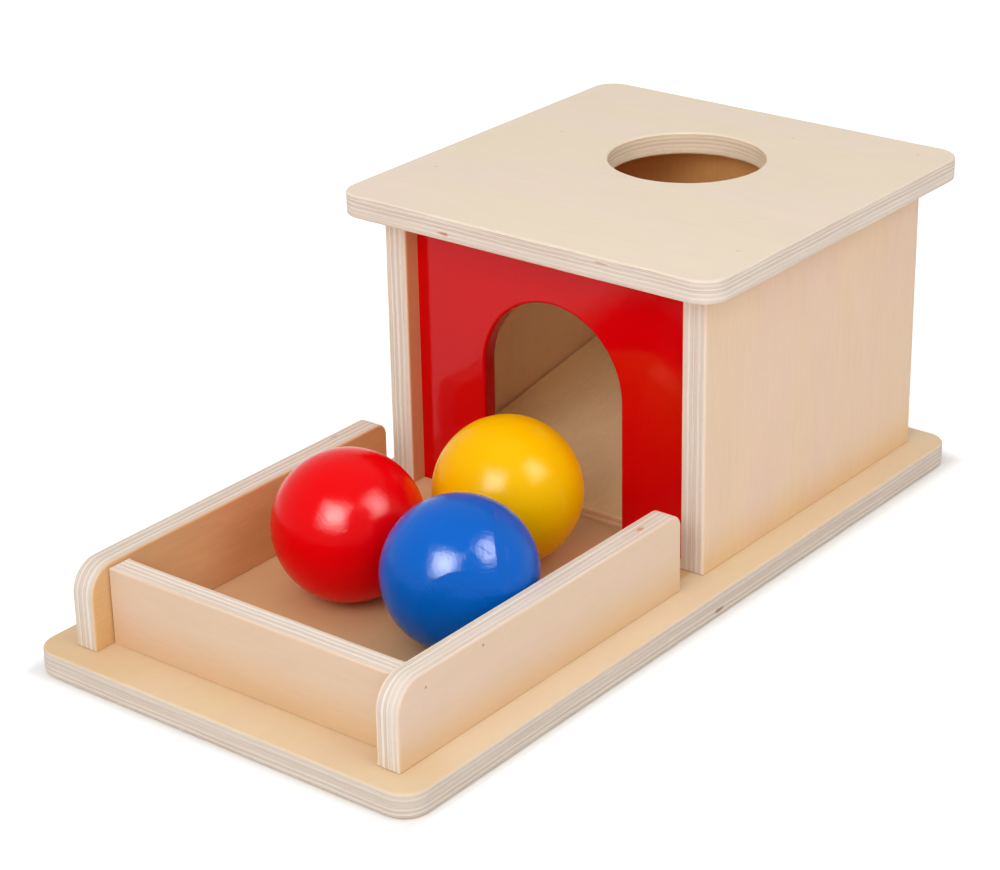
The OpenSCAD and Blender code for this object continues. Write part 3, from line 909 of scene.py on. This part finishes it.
# The panel's doorway reveal and other cut edges get painted shade, 30 per cent darker.
lacquer(panel, "lacquer_front_panel", srgb(216, 0, 6), srgb(209, 0, 5), 0.11, 0.2, (0.2, 0.02), rim_shade=0.3)
print("lacquered pieces:", len(balls) + 1)

# %% [markdown]
# ## The hidden fixings
# Nobody sees the dowels between walls and roof, and the screws show only from underneath. They stay as the CAD
# made them and get their finishes only: bare beech with short brown flecks, and zinc plate, which is a metal
# with a slightly cloudy grey.

# %% Beech and zinc
beech = Finish("bare_beech")
flecks = beech.clear(beech.noise([1.6, 1.6, 0.25], (3.0, 1.0, 2.0), 2.0), 0.58, 0.72)
beech.set(Base_Color=beech.mix(flecks * 0.5, srgb(214, 176, 132), srgb(176, 128, 86)))
beech.set(Roughness=0.6 + 0.1 * flecks)
beech.bump(flecks, 0.15)
batten.data.materials.append(beech.material)

zinc = Finish("zinc_plate")
cloud_mark = zinc.noise([0.9] * 3, (1.0, 4.0, 2.0), 3.0)
zinc.set(Base_Color=zinc.mix(cloud_mark, srgb(196, 198, 202), srgb(222, 222, 224)), Metallic=1.0)
zinc.set(Roughness=0.26 + 0.2 * cloud_mark)
zinc.bump(cloud_mark, 0.1)

for node, finish in (("roof_dowels", beech), ("base_screws", zinc)):
    slots = frame["nodes"][node].data.materials
    slots.clear()
    slots.append(finish.material)
print("finished CAD nodes: roof_dowels, base_screws")

# %% [markdown]
# ## Floor and light
# A product shot like this is taken in a white tent. The world gives the tent's even light, a lamp hangs above it,
# and two soft boxes stand in front and at the right. What a box casts and what it shows in a gloss paint are
# separate lamps here, so that the highlights can be strong while the light stays plain. Each highlight is a
# square with a brighter middle. Their directions were worked out from where they lie on the balls. The camera,
# reflections and clear materials see pure white. The floor adds a little light of its own for them, less close
# to the object, so it is white but still keeps the shadow along the base.

# %% Floor, world and lamps
WORLD_LIGHT = 0.62
FLOOR_SIZE, FLOOR_DROP = 6.0, 0.0002
LIFT_NEAR, LIFT_FAR, LIFT_REACH = 0.05, 0.42, 9.0
TRAY_MIDDLE = np.array([0.0, -0.05, 0.03])

reach = FLOOR_SIZE / 2
floor_mesh = bpy.data.meshes.new("floor")
corners = np.array(rectangle((-reach, -reach), (reach, reach)))
floor_mesh.from_pydata(np.column_stack([corners, np.full(4, -FLOOR_DROP)]), [], [(0, 1, 2, 3)])
floor = bpy.data.objects.new("floor", floor_mesh)
bpy.context.scene.collection.objects.link(floor)

paper = Finish("white_paper")
paper.set(Base_Color=(0.9, 0.9, 0.9, 1), Roughness=0.9, Specular_IOR_Level=0.0)


def seen(finish):
    """1 for rays from the camera, a mirror or a clear material, else 0."""
    path = finish.node("ShaderNodeLightPath").socket.node.outputs
    rays = [Socket(finish, path[name]) for name in ("Is Camera Ray", "Is Glossy Ray", "Is Transmission Ray")]
    return finish.clear(rays[0] + rays[1] + rays[2], 0.4, 0.6)


def beyond(finish, half):
    """How far a point of the floor lies outside a rectangle about the middle, in mm."""
    value = finish.where([1, 1, 0])
    for operation, second in (("ABSOLUTE", None), ("SUBTRACT", [*half, 0.0]), ("MAXIMUM", [0.0] * 3)):
        sockets = {0: value} if second is None else {0: value, 1: second}
        value = finish.node("ShaderNodeVectorMath", {"operation": operation}, sockets)
    return finish.node("ShaderNodeVectorMath", {"operation": "LENGTH"}, {0: value}, "Value")


clear_of = paper.clear(beyond(paper, box_mm("base_board")[1][:2]), 0.0, LIFT_REACH)
lift = seen(paper) * (LIFT_NEAR + (LIFT_FAR - LIFT_NEAR) * clear_of)
paper.set(Emission_Color=paper.mix(lift, (0, 0, 0, 1), (1, 1, 1, 1)), Emission_Strength=1.0)
floor_mesh.materials.append(paper.material)


class Sky(Finish):
    """The world's node tree, with the same methods as a finish."""

    def __init__(self, name):
        self.world = bpy.data.worlds.new(name)
        self.world.use_nodes = True
        self.tree = self.world.node_tree
        self.shader = self.tree.nodes["Background"]


tent = Sky("white_tent")
tent.set(Color=(1, 1, 1, 1), Strength=WORLD_LIGHT + (1 - WORLD_LIGHT) * seen(tent))
bpy.context.scene.world = tent.world


def soft_box(name, azimuth, elevation, radiance, size, rays, shape="DISK", distance=1.1):
    """A lamp that looks at the middle of the tray. Its power is pi times its radiance times its area.

    rays says which rays see it: "diffuse" for the light it casts, or "glossy" for its reflection."""
    around, above = np.radians(azimuth), np.radians(elevation)
    back = np.array([np.sin(around) * np.cos(above), -np.cos(around) * np.cos(above), np.sin(above)])
    right = np.array([np.cos(around), np.sin(around), 0.0])
    lamp = bpy.data.lights.new(name, "AREA")
    lamp.shape, lamp.size = shape, size
    lamp.energy = np.pi * radiance * size**2 * (np.pi / 4 if shape == "DISK" else 1.0)
    placed = bpy.data.objects.new(name, lamp)
    bpy.context.scene.collection.objects.link(placed)
    turned = Matrix(np.column_stack([right, np.cross(back, right), back]).tolist()).to_4x4()
    turned.translation = back * distance + TRAY_MIDDLE
    placed.matrix_world = turned
    placed.visible_diffuse, placed.visible_glossy = rays == "diffuse", rays == "glossy"
    return placed


FRONT_BOX, RIGHT_BOX, RIGHT_CAST = (13.9, 36.9), (101.0, 42.7), (86.0, 42.7)
soft_box("front_light", *FRONT_BOX, 3.05, 0.75, "diffuse")
soft_box("right_light", *RIGHT_CAST, 1.75, 0.64, "diffuse")
soft_box("top_light", 0.0, 89.0, 0.65, 0.8, "diffuse")
# Lamps in one direction hang at different distances: a reflected ray that meets two at once can miss one.
soft_box("front_shine", *FRONT_BOX, 30.0, 0.655, "glossy", "SQUARE", 1.0)
soft_box("front_core", *FRONT_BOX, 36.0, 0.34, "glossy", "DISK", 0.9)
soft_box("right_shine", *RIGHT_BOX, 19.0, 0.565, "glossy", "SQUARE", 1.0)
soft_box("right_core", *RIGHT_BOX, 24.0, 0.29, "glossy", "DISK", 0.9)

# %% [markdown]
# ## Camera
# The camera's place, angle and lens come from fitting straight edges of the boards to the photograph. It stands
# to the front right and looks down, with a long lens. The small lens shift puts the picture's middle where the
# photograph has it, and the slight roll is in the photograph too.

# %% Camera and view
CAMERA_AT = (0.49787, -0.63684, 0.40672)
AZIMUTH, ELEVATION, ROLL = np.radians([38.226, 23.941, -1.031])
SENSOR_W, LENS, LENS_SHIFT = 36.0, 97.80, (-0.01386, -0.00876)

camera = bpy.data.cameras.new("camera")
camera.sensor_fit, camera.sensor_width, camera.lens = "HORIZONTAL", SENSOR_W, LENS
camera.shift_x, camera.shift_y = LENS_SHIFT
back_axis = np.array(
    [np.sin(AZIMUTH) * np.cos(ELEVATION), -np.cos(AZIMUTH) * np.cos(ELEVATION), np.sin(ELEVATION)]
)
level_axis = np.array([np.cos(AZIMUTH), np.sin(AZIMUTH), 0.0])
upright_axis = np.cross(back_axis, level_axis)
right_axis = np.cos(ROLL) * level_axis + np.sin(ROLL) * upright_axis
up_axis = np.cos(ROLL) * upright_axis - np.sin(ROLL) * level_axis
looking = Matrix(np.column_stack([right_axis, up_axis, back_axis]).tolist()).to_4x4()
looking.translation = CAMERA_AT
camera_object = bpy.data.objects.new("camera", camera)
bpy.context.scene.collection.objects.link(camera_object)
camera_object.matrix_world = looking
bpy.context.scene.camera = camera_object
bpy.context.scene.view_settings.view_transform = "Standard"
print("camera at", CAMERA_AT, "lens", round(camera.lens, 1), "mm")

# %% Finish
bpy.context.view_layer.update()
